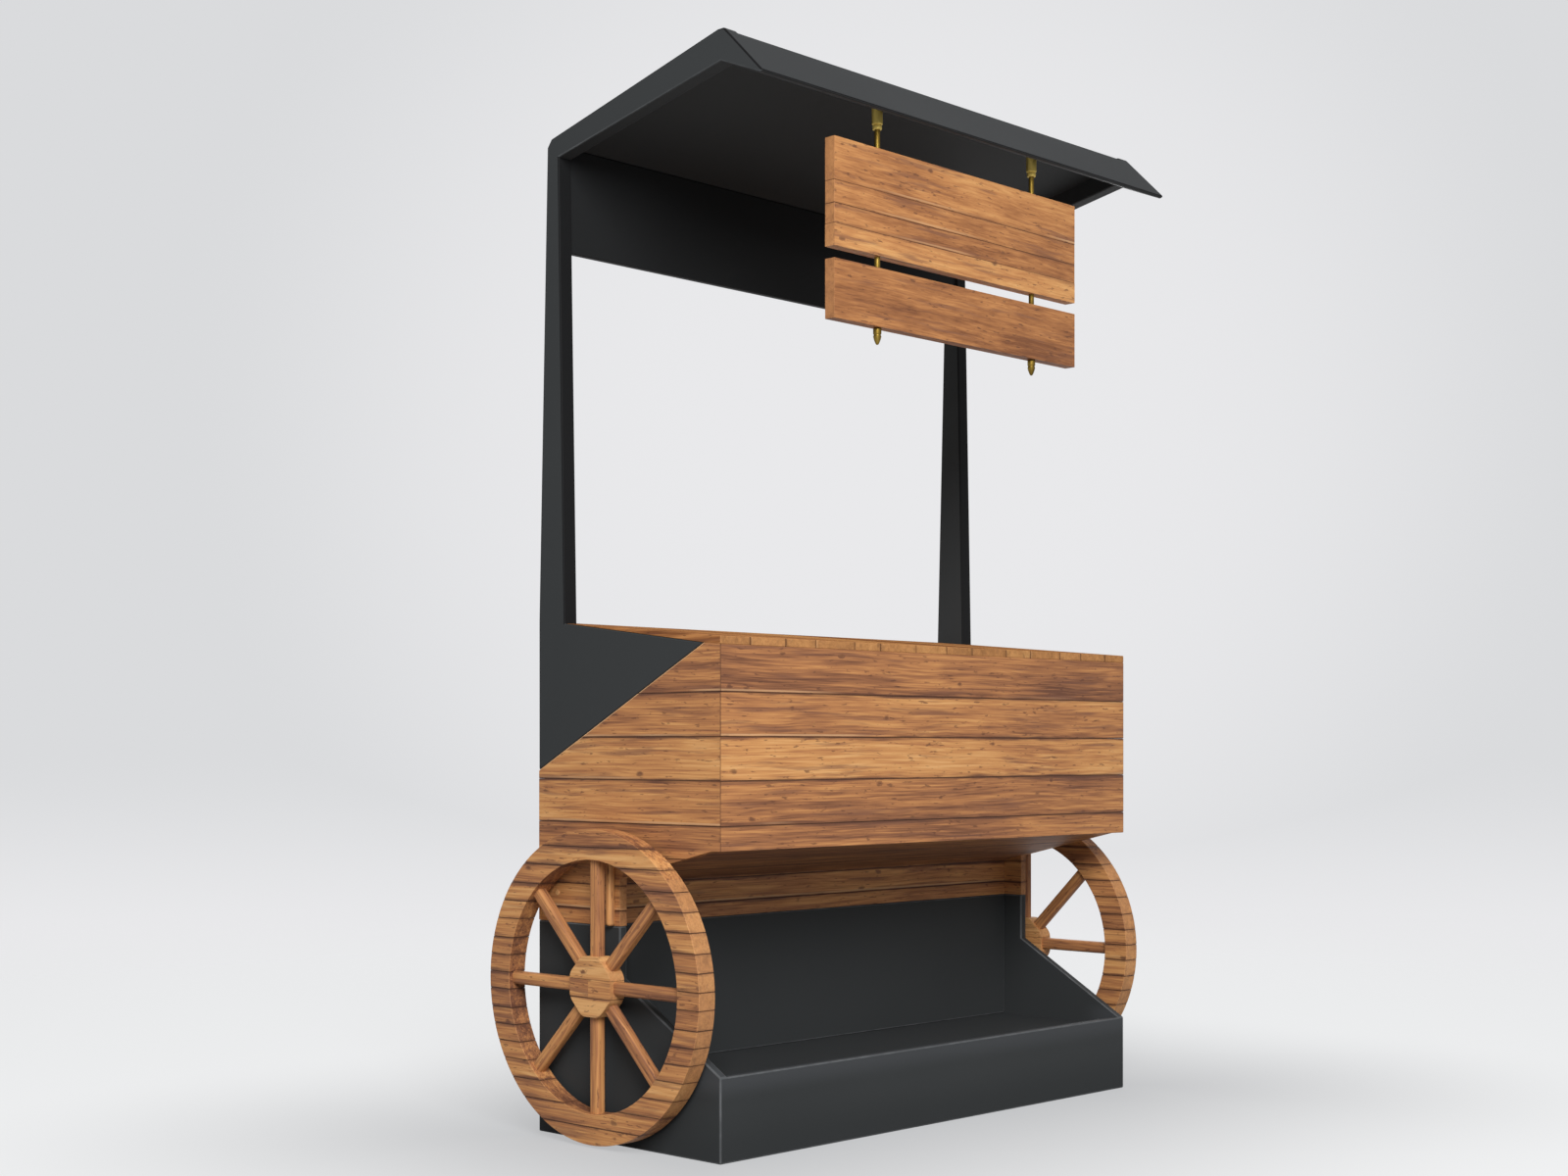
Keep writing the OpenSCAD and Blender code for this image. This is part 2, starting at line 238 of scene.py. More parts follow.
pale = mix_shaders(tree, FLOOR_LIT_SHARE, glow, lit)
body = mix_shaders(tree, seen_rays(tree), shader.outputs[0], pale)
gone = fade(tree, vector_calc(tree, "LENGTH", place, result="Value"), *FLOOR_FADE)
clear = add_node(tree, "ShaderNodeBsdfTransparent").outputs[0]
mixed = mix_shaders(tree, gone, body, clear)
tree.links.new(mixed, tree.nodes["Material Output"].inputs["Surface"])
floor.data.materials.append(floor_finish)
print("floor radius", FLOOR_RADIUS, "fades over", FLOOR_FADE)

# %% [markdown]
# ## Backdrop
# A studio has a backdrop, and here the world is it, so that no wall has to stand anywhere. It has
# two sides: a dim white that fills the shadows, and the pale grey that the camera and the
# reflections see. The grey is a little brighter in one direction, like a backdrop with a lamp on
# it, and low down, where the floor curves up into it. Both are fixed in the world.

# %% Paint the backdrop
GLOW_WAY = (0.743, 0.653, 0.14)
GLOW_REACH = (0.950, 0.999)
LOW_REACH = (0.0, -0.09)
BACKDROP, BACKDROP_GLOW = colour(218, 219, 221), colour(233, 233, 235)
FILL, FILL_STRENGTH = (1, 1, 1, 1), 0.28

world = bpy.data.worlds.new("studio")
world.use_nodes = True
bpy.context.scene.world = world
tree = world.node_tree
tree.nodes.clear()
way = place_on(tree, "Generated")
facing = vector_calc(tree, "DOT_PRODUCT", way, GLOW_WAY, result="Value")
rise = numbers(tree, way)["Z"]
bright = calc(tree, "MAXIMUM", fade(tree, facing, *GLOW_REACH), fade(tree, rise, *LOW_REACH))
grey = blend(tree, bright, BACKDROP, BACKDROP_GLOW)
inputs = {"Color": FILL, "Strength": FILL_STRENGTH}
fill = add_node(tree, "ShaderNodeBackground", inputs).outputs[0]
shown = add_node(tree, "ShaderNodeBackground", {"Color": grey, "Strength": 1.0}).outputs[0]
both = mix_shaders(tree, seen_rays(tree), fill, shown)
tree.links.new(both, add_node(tree, "ShaderNodeOutputWorld").inputs["Surface"])
print("fill light", FILL_STRENGTH)

# %% [markdown]
# ## Lamps
# One large soft lamp stands at the front left, so that it lights the front and the left side alike
# and leaves the display bay and the roof's underside in shade. A weak lamp behind keeps the far
# side readable. Many small lamps would light the cart as evenly, but each would cast its own
# shadow.

# %% Hang the lamps
LAMP_AIM = (0, 0, 0.9)
KEY_AT, KEY_SIZE, KEY_POWER = (-4.1, -4.88, 4.41), 3.4, 578
BACK_AT, BACK_SIZE, BACK_POWER = (3.6, 3.4, 3.4), 3.0, 70


def soft_lamp(name, place, size, power):
    """A square soft lamp that points at the middle of the cart."""
    way = [aim - start for aim, start in zip(LAMP_AIM, place)]
    level = math.hypot(way[0], way[1])
    turn = (math.atan2(level, -way[2]), 0, math.atan2(way[1], way[0]) - math.pi / 2)
    bpy.ops.object.light_add(type="AREA", location=place, rotation=turn)
    lamp = bpy.context.object
    lamp.name = name
    lamp.data.size = size
    lamp.data.energy = power


soft_lamp("key_lamp", KEY_AT, KEY_SIZE, KEY_POWER)
soft_lamp("back_lamp", BACK_AT, BACK_SIZE, BACK_POWER)
print("lamps:", KEY_POWER, "W and", BACK_POWER, "W")

# %% [markdown]
# ## Wood finish
# The planks are a rustic brown hardwood under clear satin lacquer: soft bands, fine dark streaks,
# short flecks and small knots. An image texture would repeat from plank to plank, so the finish is
# mixed from noise. Each plank carries its own coordinates in the attribute grain, in metres along
# and across the grain, so one finish suits planks that lie in any direction. The attribute plank
# holds three numbers: the plank's tone, the kind of edge that a face is (-1 in a seam, +1 on an
# outer edge, +2 on one with a painted highlight), and how far it is end grain. The attribute joint
# holds how far a point is from the joints on either side, and the wood is darker near them.

# %% A recipe for wood
# the seam colour, which is partly painted shade in the groove
SEAM_DARK = colour(78, 50, 37)
# the wood is darker near the joints
JOINT_DARK_TINT = colour(98, 64, 49)
KNOT = colour(88, 55, 42)
GREYED = colour(118, 79, 62)
# a pale colour, partly wear and partly a painted highlight, for strips above joints and planed
# edges
WORN_AND_HIGHLIGHT = colour(216, 172, 128)
KNOT_CELLS, KNOT_EDGE, KNOT_REACH = (20, 42, 42), (90, 170, 170), (0.36, 0.20)
KNOTLESS = 0.87
SWAY, SWAY_WIDTH, KNOT_BEND = (2.2, 7, 7), 0.024, 0.005
GREY_STREAKS, FLECKS, RINGS = (4.5, 85, 85), (40, 190, 190), (60, 60, 60)
# how the wood darkens near the joints
JOINT_DARK_EDGE, JOINT_DARK_PATCHES, JOINT_DARK_REACH = (9, 130, 130), (3.5, 9, 9), (-0.001, -0.0070)
# the pale strip above the joint below, partly wear and partly a painted highlight
WEAR_HIGHLIGHT_PATCHES, WEAR_HIGHLIGHT_START, WEAR_HIGHLIGHT_END = (1.8, 4, 4), (0.0016, 0.0026), (0.0062, 0.0046)
# patches of the dark seams and of the painted highlight on planed edges
SEAM_PATCHES, HIGHLIGHT_PATCHES = (5, 14, 14), (9, 14, 14)
# how pale an outer edge is, partly wear and partly a painted highlight
RING_SHADE, OUTER_SHARE = 0.66, 0.25


def wood_finish(name, stops, layers, tone_step, end_tint, sheen=0.25, wear_and_highlight=0.6, joint_darkening=1.0):
    """A lacquered wood that reads the grain, plank and joint attributes."""
    material, tree, shader = new_finish(name)
    grain = attribute(tree, "grain")
    tone, edge, end = numbers(tree, attribute(tree, "plank"))
    below, above = numbers(tree, attribute(tree, "joint"))[:2]

    # small knots, in a few of the cells only, and the grain bends round them
    cells = vector_calc(tree, "MULTIPLY", grain, KNOT_CELLS)
    inputs = {"Vector": cells, "Scale": 1.0, "Randomness": 1.0}
    knots = add_node(tree, "ShaderNodeTexVoronoi", inputs).outputs
    chance = add_node(tree, "ShaderNodeSeparateColor", {0: knots["Color"]}).outputs[0]
    some = calc(tree, "GREATER_THAN", chance, KNOTLESS)
    ragged = calc(tree, "MULTIPLY_ADD", noise(tree, grain, KNOT_EDGE, 2), 0.22, knots["Distance"])
    knot = calc(tree, "MULTIPLY", fade(tree, ragged, *KNOT_REACH), some)
    sway = calc(tree, "SUBTRACT", noise(tree, grain, SWAY, 2), 0.5)
    bend = calc(tree, "MULTIPLY_ADD", sway, SWAY_WIDTH, calc(tree, "MULTIPLY", knot, KNOT_BEND))
    shift = add_node(tree, "ShaderNodeCombineXYZ", {"Y": bend, "Z": bend}).outputs[0]
    swayed = vector_calc(tree, "ADD", grain, shift)

    # broad drift, bands, lines and pores each add to one value, and the ramp turns it into brown
    value = calc(tree, "MULTIPLY_ADD", tone, tone_step, 0.5 - tone_step / 2)
    for stretch, weight in layers:
        layer = noise(tree, swayed, stretch, 2, 0.55)
        value = calc(tree, "MULTIPLY_ADD", layer, weight, calc(tree, "SUBTRACT", value, weight / 2))
    body = ramp(tree, value, stops)

    greyed = fade(tree, noise(tree, swayed, GREY_STREAKS, 3, 0.6), 0.54, 0.68, 0.0, 0.6)
    body = blend(tree, greyed, body, GREYED)
    flecks = fade(tree, noise(tree, swayed, FLECKS, 2, 0.6), 0.62, 0.70, 0.0, 0.65)
    body = blend(tree, flecks, body, KNOT)
    body = blend(tree, calc(tree, "MULTIPLY", knot, 0.7), body, KNOT)

    # the wood darkens in ragged patches near the joints, and a pale strip above the joint below is
    # partly wear and partly a painted highlight
    near = calc(tree, "MINIMUM", below, above)
    ragged = calc(tree, "MULTIPLY_ADD", noise(tree, grain, JOINT_DARK_EDGE, 3), -0.016, near)
    patchy = noise(tree, grain, JOINT_DARK_PATCHES, 3, 0.6)
    patchy = fade(tree, patchy, 0.38, 0.60, 0.25 * joint_darkening, 0.95 * joint_darkening)
    near_joint_dark = calc(tree, "MULTIPLY", fade(tree, ragged, *JOINT_DARK_REACH), patchy)
    body = blend(tree, near_joint_dark, body, JOINT_DARK_TINT)
    strip = calc(tree, "MULTIPLY", fade(tree, below, *WEAR_HIGHLIGHT_START), fade(tree, below, *WEAR_HIGHLIGHT_END))
    patchy = fade(tree, noise(tree, grain, WEAR_HIGHLIGHT_PATCHES, 2), 0.49, 0.62, 0.0, wear_and_highlight)
    body = blend(tree, calc(tree, "MULTIPLY", strip, patchy), body, WORN_AND_HIGHLIGHT)

    # a cut end shows rings; a seam is dark, partly as painted shade in the groove;
    # an outer edge is a little paler, partly wear and partly a painted highlight;
    # and a planed edge has a pale painted highlight
    dark_ring = tuple(RING_SHADE * part for part in end_tint[:3]) + (1,)
    rings = noise(tree, grain, RINGS, 3, 0.6)
    body = blend(tree, end, body, ramp(tree, rings, [(0.32, dark_ring), (0.62, end_tint)]))
    patchy = fade(tree, noise(tree, grain, SEAM_PATCHES, 2), 0.35, 0.60, 0.45, 0.85)
    inner = calc(tree, "MAXIMUM", calc(tree, "MULTIPLY", edge, -1.0), 0.0)
    body = blend(tree, calc(tree, "MULTIPLY", inner, patchy), body, SEAM_DARK)
    outer = calc(tree, "MULTIPLY", calc(tree, "MAXIMUM", edge, 0.0), OUTER_SHARE)
    body = blend(tree, outer, body, end_tint)
    patchy = fade(tree, noise(tree, grain, HIGHLIGHT_PATCHES, 2), 0.35, 0.65, 0.65, 1.0)
    highlit_edge = calc(tree, "MAXIMUM", calc(tree, "SUBTRACT", edge, 1.0), 0.0)
    body = blend(tree, calc(tree, "MULTIPLY", highlit_edge, patchy), body, WORN_AND_HIGHLIGHT)

    tree.links.new(body, shader.inputs["Base Color"])
    tree.links.new(fade(tree, layer, 0.3, 0.7, 0.64, 0.50), shader.inputs["Roughness"])
    shader.inputs["Specular IOR Level"].default_value = sheen
    relief = calc(tree, "SUBTRACT", layer, calc(tree, "MULTIPLY", flecks, 0.6))
    roughen(tree, shader, relief, 0.3, 0.0007)
    return material


print("a knot in", round(1 - KNOTLESS, 2), "of the cells")

# %% [markdown]
# ## Four woods
# The cabinet and the wheels are brown and streaked, and the sign is honey-coloured and mottled. The
# countertop is scrubbed and oiled instead of lacquered, so it has no sheen. All four come from the
# one recipe, with their own colours and layers of noise, so that they look like one cart's wood.

# %% Mix the four woods
STREAKED = (((1.4, 12, 12), 0.72), ((2.4, 50, 50), 0.62), ((5, 180, 180), 0.85),
            ((9, 400, 400), 0.75))
MOTTLED = (((2.2, 14, 14), 0.75), ((7, 45, 45), 0.55), ((9, 150, 150), 0.60),
           ((30, 420, 420), 0.50))
BROWN = [(0.05, colour(104, 67, 49)), (0.28, colour(146, 97, 65)), (0.50, colour(181, 124, 78)),
         (0.72, colour(204, 147, 91)), (0.95, colour(220, 168, 111))]
HONEY = [(0.05, colour(122, 77, 49)), (0.28, colour(160, 106, 65)), (0.50, colour(188, 130, 80)),
         (0.72, colour(208, 152, 95)), (0.95, colour(223, 174, 115))]
WOODS = (
    ("cart_wood", BROWN, STREAKED, 0.30, colour(172, 118, 74), {}),
    ("wheel_wood", BROWN, STREAKED, 0.34, colour(192, 138, 90), {"wear_and_highlight": 0.0}),
    ("sign_wood", HONEY, MOTTLED, 0.30, colour(184, 129, 84), {"joint_darkening": 0.4}),
    ("counter_wood", HONEY, STREAKED, 0.40, colour(190, 139, 90), {"sheen": 0.0}),
)
finishes = {}
for name, stops, layers, tone_step, end_tint, extra in WOODS:
    finishes[name] = wood_finish(name, stops, layers, tone_step, end_tint, **extra)
print("wood finishes:", sorted(finishes))

# %% [markdown]
# ## Black paint
# The boards of the base, the side frames and the roof are painted satin black. One flat black would
# look like plastic. Real paint on board isn't quite even: its colour drifts a little and its skin
# is finely dimpled. Its rounded edges are paler, partly worn by rubbing and partly a painted
# highlight.
# Towards the top of the base at the front a painted reflection makes it paler, and its foot is
# darker with painted shade. A dark colour is a second coat on some rims and painted shade on the
# undersides, the valance, the posts' front faces and the visor, and its strength is the third
# number of the attribute plank.

# %% Mix the black paint
PAINT = [(0.3, colour(54, 56, 57)), (0.7, colour(58, 60, 61))]
# painted shade at the foot of the base
FOOT_PAINTED_SHADE, FOOT_SHADE_REACH = colour(46, 48, 49), (0.10, 0.02)
# a painted reflection, paler towards the top of the base at the front
TOP_PAINTED_SHEEN, SHEEN_START, SHEEN_END = colour(84, 86, 90), (0.11, 0.15), (0.19, 0.16)
SHEEN_FRONT_REACH = (-0.15, -0.22)
# rounded edges paler, partly worn by rubbing and partly a painted highlight; and a dark colour
RUBBED_AND_HIGHLIGHT_TINT, COAT_AND_SHADE_TINT = colour(96, 98, 100), colour(22, 22, 23)

paint, tree, shader = new_finish("black_paint")
place = place_on(tree)
edge, coat_and_shade = numbers(tree, attribute(tree, "plank"))[1:]
depth, height = numbers(tree, place)[1:]
drift = noise(tree, place, (1.6, 1.6, 1.6), 2)
body = ramp(tree, drift, PAINT)
# painted shade: darker at the foot
body = blend(tree, fade(tree, height, *FOOT_SHADE_REACH, 0.0, 0.5), body, FOOT_PAINTED_SHADE)
# painted reflection: paler towards the top of the base at the front
top = fade(tree, height, *SHEEN_END, 0.0, 0.35)
for share in (fade(tree, height, *SHEEN_START), fade(tree, depth, *SHEEN_FRONT_REACH)):
    top = calc(tree, "MULTIPLY", share, top)
body = blend(tree, top, body, TOP_PAINTED_SHEEN)
# rounded edges are paler, partly worn by rubbing and partly a painted highlight
patchy = fade(tree, noise(tree, place, (30, 30, 30), 3), 0.35, 0.65, 0.5, 0.9)
rubbed_and_highlit = calc(tree, "MULTIPLY", calc(tree, "MAXIMUM", edge, 0.0), patchy)
body = blend(tree, rubbed_and_highlit, body, RUBBED_AND_HIGHLIGHT_TINT)
# the dark colour, a second coat on some rims and painted shade on other faces
body = blend(tree, coat_and_shade, body, COAT_AND_SHADE_TINT)
tree.links.new(body, shader.inputs["Base Color"])
tree.links.new(fade(tree, drift, 0.3, 0.7, 0.48, 0.54), shader.inputs["Roughness"])
shader.inputs["Specular IOR Level"].default_value = 0.06
roughen(tree, shader, noise(tree, place, (420, 420, 420), 2), 0.10, 0.0003)
finishes["black_paint"] = paint
print("finish:", paint.name)

# %% [markdown]
# ## Aged brass
# The rods and finials of the sign are satin brass that has darkened with handling. The cups sit in
# the visor's shade and are painted brighter, as painted light. Two materials would do, but one
# metallic shader with a mottled colour and roughness serves both, and the first number of the
# attribute plank says how much painted light the brass gets.

# %% Mix the brass
TARNISH = [(0.3, colour(84, 66, 26)), (0.55, colour(124, 102, 44)), (0.75, colour(156, 132, 66))]
# a brighter brass for the cups, as painted light where they sit in the visor's shade
PAINTED_LIGHT_BRASS = colour(214, 190, 106)

brass, tree, shader = new_finish("brass")
mottle = noise(tree, place_on(tree), (60, 60, 25), 4, 0.6)
# how much painted light the brass gets
painted_light = numbers(tree, attribute(tree, "plank"))["X"]
body = blend(tree, painted_light, ramp(tree, mottle, TARNISH), PAINTED_LIGHT_BRASS)
tree.links.new(body, shader.inputs["Base Color"])
tree.links.new(fade(tree, mottle, 0.3, 0.7, 0.60, 0.46), shader.inputs["Roughness"])
shader.inputs["Metallic"].default_value = 1.0
finishes["brass"] = brass
print("finish:", brass.name)

# %% [markdown]
# ## Working on a board
# A board starts as a copy of its CAD node. Such a node is loose triangles, so the copy is welded
# and its flat faces are made whole again, which leaves the few clean edges that a bevel needs. A
# remesh would join the triangles too, but it would wear down the corners. The other helpers open a
# piece for editing, and choose its edges or faces by their place or by the way they face.

# %% Board helpers
WELD = 0.00002
FLAT = math.radians(0.5)
FACING = 0.9


def only(piece):
    """Deselects everything, then selects one piece and works on it."""
    bpy.ops.object.select_all(action="DESELECT")
    piece.select_set(True)
    bpy.context.view_layer.objects.active = piece


def edit(piece, select="SELECT"):
    """Opens a piece in edit mode with all of it selected, or none of it."""
    only(piece)
    bpy.ops.object.mode_set(mode="EDIT")
    bpy.ops.mesh.select_mode(type="EDGE")
    bpy.ops.mesh.select_all(action=select)


def choose(piece, kind, wanted):
    """Selects the edges or the faces of an open piece that pass a test."""
    mesh = bmesh.from_edit_mesh(piece.data)
    for part in mesh.faces if kind == "faces" else mesh.edges:
        part.select_set(wanted(part))
    bmesh.update_edit_mesh(piece.data)


def done():
    """Closes edit mode."""
    bpy.ops.object.mode_set(mode="OBJECT")


def field(piece, name, domain="POINT"):
    """The vectors that a piece carries in an attribute, which is added if it isn't there yet."""
    fields = piece.data.attributes
    return (fields.get(name) or fields.new(name, "FLOAT_VECTOR", domain)).data


def make_whole(piece):
    """Welds a piece's points and makes its flat faces whole."""
    edit(piece)
    bpy.ops.mesh.remove_doubles(threshold=WELD)
    bpy.ops.mesh.dissolve_limited(angle_limit=FLAT)
    done()


def copy_of(node, name):
    """A new piece from a CAD board, welded and with its flat faces whole."""
    piece = bpy.data.objects.new(name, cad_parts[node].data.copy())
    bpy.context.scene.collection.objects.link(piece)
    piece.data.materials.clear()
    only(piece)
    bpy.ops.mesh.customdata_custom_splitnormals_clear()
    make_whole(piece)
    return piece


def own_copy(piece, name):
    """A copy with its own mesh."""
    twin = bpy.data.objects.new(name, piece.data.copy())
    bpy.context.scene.collection.objects.link(twin)
    return twin


print("boards are welded at", WELD)

# %% [markdown]
# ## Joinery
# Most of the work is sawing, easing and gluing. The saw is the bisect tool: it keeps what lies
# between two planes, closes the cuts, and takes a fine slit off so that two neighbours don't touch.
# Easing is a bevel on all sharp outer edges. It gives its new faces another material number, and by
# that number they are found again and marked as a seam or as an outer edge. Boards that are glued
# and painted over are fused, and planks whose joints show are only joined into one piece.

# %% Joinery helpers
SHARP = math.radians(25)
SLIT = 0.0003
EASE_STEPS = 3
SEAM_REACH = 1.5
IN_SEAM, OUTER_EDGE = -1, 1
AXES = ((1, 0, 0), (0, 1, 0), (0, 0, 1))


def saw(piece, axis, low=None, high=None, slit=SLIT):
    """Keeps what lies between two places along an axis, and closes the cuts."""
    edit(piece)
    for place, way in ((low, -1), (high, 1)):
        if place is not None:
            bpy.ops.mesh.select_all(action="SELECT")
            at = [(place - way * slit / 2) * part for part in AXES[axis]]
            facing = [way * part for part in AXES[axis]]
            bpy.ops.mesh.bisect(plane_co=at, plane_no=facing, use_fill=True, clear_outer=True)
    done()


def ease(piece, width, seams=(), clamp=True):
    """Rounds all sharp outer edges, and marks each rounded face as a seam (-1) or outer edge (+1).

    Where a cut passes close to a corner, rounding leaves slivers without area, so they are cleared
    away.
    """
    for slot in range(2):
        piece.data.materials.append(None)
    edit(piece, "DESELECT")
    bpy.ops.mesh.edges_select_sharp(sharpness=SHARP)
    choose(piece, "edges", lambda corner: corner.select and corner.is_convex)
    bpy.ops.mesh.bevel(offset=width, segments=EASE_STEPS, affect="EDGES", clamp_overlap=clamp,
                       material=1)
    bpy.ops.mesh.select_all(action="SELECT")
    bpy.ops.mesh.remove_doubles(threshold=WELD)
    bpy.ops.mesh.dissolve_degenerate(threshold=WELD)
    done()
    for face, mark in zip(piece.data.polygons, field(piece, "plank", "FACE")):
        if face.material_index == 1:
            near = [abs(face.center[axis] - place) < SEAM_REACH * width for axis, place in seams]
            mark.vector = (0, IN_SEAM if any(near) else OUTER_EDGE, 0)
            face.material_index = 0
    piece.data.materials.clear()


def unite(piece, others):
    """Fuses other closed boards into a piece, so that no joint is left between them."""
    for other in others:
        fuse = piece.modifiers.new("fuse", "BOOLEAN")
        fuse.operation, fuse.solver, fuse.object = "UNION", "EXACT", other
        only(piece)
        bpy.ops.object.modifier_apply(modifier="fuse")
        bpy.data.objects.remove(other)
    make_whole(piece)


def glue(parts, name):
    """Joins parts into one piece."""
    only(parts[0])
    for part in parts:
        part.select_set(True)
    bpy.ops.object.join()
    parts[0].name = name
    return parts[0]


print("the saw's slit is", SLIT)

# %% [markdown]
# ## Grain and hand-over
# Every plank gets its own grain, as if cut from its own log. Its points are numbered along and
# across the plank, from a random start, and the wood finish reads those numbers. They could also be
# a UV map, but that has only two directions, and wood is solid. The last helper finishes every
# piece in the same way: smooth shading over rounded edges, a finish, and its place in the model.

# %% Grain and hand-over helpers
END_GRAIN, END_FACING = 0.6, 0.7
LOG_START, LOG_STEPS = (0, 9), (3.71, 1.93, 2.57)
NO_JOINT = 1
SMOOTH = math.radians(35)
seeds = random.Random(7)


def mark_joints(piece, axis, below=None, above=None):
    """Writes how far each point is from the joint below and the joint above, along an axis."""
    for vertex, value in zip(piece.data.vertices, field(piece, "joint")):
        place = vertex.co[axis]
        value.vector = (NO_JOINT if below is None else place - below,
                        NO_JOINT if above is None else above - place, 0)


def run_grain(piece, along, tone):
    """Writes the plank's own coordinates, along the grain first, and its tone and end grain."""
    order = [along] + [axis for axis in range(3) if axis != along]
    seed = seeds.uniform(*LOG_START)
    offset = [seed * step for step in LOG_STEPS]
    for vertex, value in zip(piece.data.vertices, field(piece, "grain")):
        value.vector = [vertex.co[axis] + step for axis, step in zip(order, offset)]
    for face, mark in zip(piece.data.polygons, field(piece, "plank", "FACE")):
        end = END_GRAIN if abs(face.normal[along]) > END_FACING else 0
        mark.vector = (tone, mark.vector[1], end)
    mark_joints(piece, along)


def hand_over(piece, finish, *nodes, slot=None):
    """Smooths a piece, gives it its finish, and sets it in the model in place of any CAD nodes."""
    only(piece)
    bpy.ops.object.shade_smooth_by_angle(angle=SMOOTH)
    piece.modifiers.new("even_shading", "WEIGHTED_NORMAL").keep_sharp = True
    bpy.ops.object.modifier_apply(modifier="even_shading")
    piece.data.materials.clear()
    piece.data.materials.append(finishes[finish])
    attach(piece, "root")
    if nodes:
        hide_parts(*nodes)
    print(piece.name, len(piece.data.polygons), "faces, finish", finish)


print("logs start between", LOG_START)

# %% [markdown]
# ## Black boards
# The base tray, the side frames, the roof and the visor are painted boards. Where boards are glued,
# filled and painted over, no joint shows: the four walls of the base are fused into one tray, and
# the side frames, the rafters and the visor's front board into one frame. Sharp CAD edges never
# catch the light, so the edges are rounded by three millimetres, as a router and sandpaper leave
# them. On the base they are paler, partly worn by rubbing and partly a painted highlight, and on
# the roof's lower rims they get a faint painted highlight. The roof's upper rims and the posts'
# back edges are sealed with the darker coat. The same dark colour is painted shade on the posts'
# front faces, the valance and the undersides, and thinly on the visor.

# %% Fuse, ease and paint the black boards
BOARD_EASE = 0.003
SIDE_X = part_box("right_side_panel")[1][0]
COUNTER_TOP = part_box("countertop")[1][2]
ROOF_RIM = 1.90
FRAME = "painted_upper_frame"
BOARDS = {
    "painted_base_tray": ["base_front_board", "base_left_side", "base_right_side",
                          "base_back_board"],
    FRAME: ["left_frame", "left_rafter", "right_frame", "right_rafter", "visor_front_board"],
}
for node in ("base_bearer", "base_deck", "base_bay_wall", "roof_panel", "visor_soffit_board",
             "back_valance"):
    BOARDS["painted_" + node] = [node]
SLANT, FRONTAL = 0.2, 0.5
# how strong the dark colour is as painted shade on the posts' front faces, the visor and the
# undersides, and how pale the roof's lower rims are with a painted highlight
JAMB_PAINTED_SHADE, VISOR_PAINTED_SHADE, UNDER_PAINTED_SHADE, RIM_RUBBED_AND_HIGHLIGHT = 0.9, 0.40, 0.7, 0.4


def lengthen(piece, reach):
    """Moves a board's end faces out to the same distance on the left and the right."""
    for way in (-1, 1):
        end = max(vertex.co.x * way for vertex in piece.data.vertices)
        edit(piece, "DESELECT")
        choose(piece, "faces", lambda face: face.normal.x * way > FACING)
        bpy.ops.transform.translate(value=(way * (reach - end), 0, 0))
        done()


def coat_and_shade_on(name, face, rounded):
    """The dark colour on a face, from 0 to 1, as a second coat or as painted shade, and how far the
    face is paler, partly worn by rubbing and partly a painted highlight.
    """
    way, height = face.normal, face.center.z
    # the base's rounded edges are paler, partly worn by rubbing and partly a painted highlight
    if name.startswith("painted_base"):
        return 0, rounded
    # the roof's upper rims are sealed dark, the visor's front gets thin painted shade, and its
    # lower rims a faint painted highlight
    if height > ROOF_RIM:
        upper = rounded and way.z > -SLANT
        front = name == FRAME and way.y < -FRONTAL
        return (1, 0) if upper else (VISOR_PAINTED_SHADE if front else 0, RIM_RUBBED_AND_HIGHLIGHT * rounded)
    # the posts' back edges are sealed dark, and their front faces get painted shade
    if name == FRAME:
        back = rounded and way.y > SLANT
        jamb = way.y < -SLANT and height > COUNTER_TOP
        return (1, 0) if back else (JAMB_PAINTED_SHADE if jamb else 0, 0)
    # painted shade on the undersides and the valance
    return UNDER_PAINTED_SHADE, 0


for name, nodes in BOARDS.items():
    board = copy_of(nodes[0], name)
    if nodes[0] == "base_front_board":
        lengthen(board, SIDE_X)
    unite(board, [copy_of(node, node + "_part") for node in nodes[1:]])
    ease(board, BOARD_EASE, clamp=name != FRAME)
    for face, mark in zip(board.data.polygons, field(board, "plank", "FACE")):
        coat_and_shade, rubbed_and_highlit = coat_and_shade_on(name, face, mark.vector[1] > 0)
        mark.vector = (0, rubbed_and_highlit, coat_and_shade)
    hand_over(board, "black_paint", *nodes)

# %% [markdown]
# ## Planked panels
# The cabinet's panels look like stacked planks with dark seams between them, and the seams run on
# round the corners at the same heights. Lines drawn by the material would look flat from the side,
# so each panel is sawn at those heights into closed planks. Every plank has its edges rounded, and
# the rounded edges of two neighbours make the groove. The planks are then joined into one piece,
# and keep their own tone and grain.

# %% A tool for planking
PLANK_EASE = 0.0012


def plank_up(board, axis, cuts, along, tones, seams=(), width=PLANK_EASE):
    """Saws a board into planks at the cuts along an axis. tones gives the tone at a middle."""
    places = [vertex.co[axis] for vertex in board.data.vertices]
    low, high = min(places), max(places)
    inner = [cut for cut in cuts if low < cut < high]
    limits = [None] + inner + [None]
    planks = []
    for below, above in zip(limits, limits[1:]):
        plank = own_copy(board, board.name)
        saw(plank, axis, below, above)
        ease(plank, width, [(axis, cut) for cut in inner] + list(seams))
        run_grain(plank, along, tones(((below or low) + (above or high)) / 2))
        mark_joints(plank, axis, below, above)
        planks.append(plank)
    name = board.name
    bpy.data.objects.remove(board)
    return glue(planks, name)


print("planks are eased by", PLANK_EASE)

